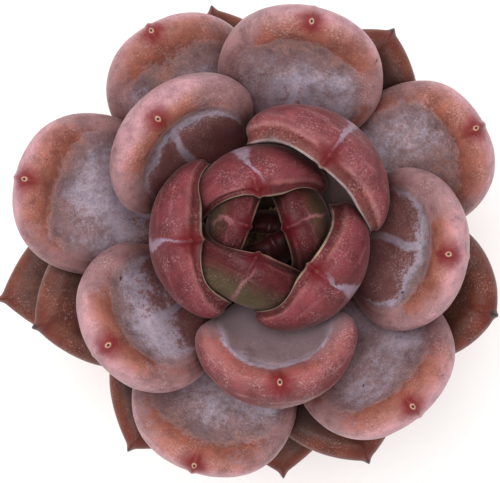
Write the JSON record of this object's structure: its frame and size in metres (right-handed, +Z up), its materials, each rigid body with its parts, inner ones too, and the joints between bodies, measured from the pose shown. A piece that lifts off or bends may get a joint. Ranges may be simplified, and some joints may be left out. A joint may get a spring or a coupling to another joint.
{
  "type": "potted succulent",
  "caption": "Rosette succulent with thick rounded leaves on a short stem, standing in potting mix in a plain tapered clay pot with a drain hole",
  "frame": {"origin": "centre of the whole object's box on the surface that the pot stands on; the pot's axis is the Z axis", "axes": "+Z up along the pot's axis, +X and +Y level, with the rosette seen from above having +Y at the top"},
  "size_m": [0.1019, 0.0961, 0.1142],
  "materials": {
    "terracotta": "matte",
    "mesh_plastic": "matte",
    "potting_mix": "matte",
    "stem_bark": "matte",
    "leaf_heart": "satin",
    "leaf_inner": "satin",
    "leaf_outer": "satin",
    "leaf_lower": "satin"
  },
  "bodies": {
    "root": {"pot": "terracotta", "drain_mesh": "mesh_plastic", "potting_mix": "potting_mix", "stem": "stem_bark", "leaf_01": "leaf_heart", "leaf_02": "leaf_heart", "leaf_03": "leaf_heart", "leaf_04": "leaf_heart", "leaf_05": "leaf_heart", "leaf_06": "leaf_inner", "leaf_07": "leaf_inner", "leaf_08": "leaf_inner", "leaf_09": "leaf_inner", "leaf_10": "leaf_inner", "leaf_11": "leaf_outer", "leaf_12": "leaf_outer", "leaf_13": "leaf_outer", "leaf_14": "leaf_outer", "leaf_15": "leaf_outer", "leaf_16": "leaf_outer", "leaf_17": "leaf_outer", "leaf_18": "leaf_outer", "leaf_19": "leaf_outer", "leaf_20": "leaf_lower", "leaf_21": "leaf_lower", "leaf_22": "leaf_lower", "leaf_23": "leaf_lower", "leaf_24": "leaf_lower", "leaf_25": "leaf_lower", "leaf_26": "leaf_lower", "leaf_27": "leaf_lower", "leaf_28": "leaf_lower", "leaf_29": "leaf_lower", "leaf_30": "leaf_lower", "leaf_31": "leaf_lower"}
  },
  "joints": []
}
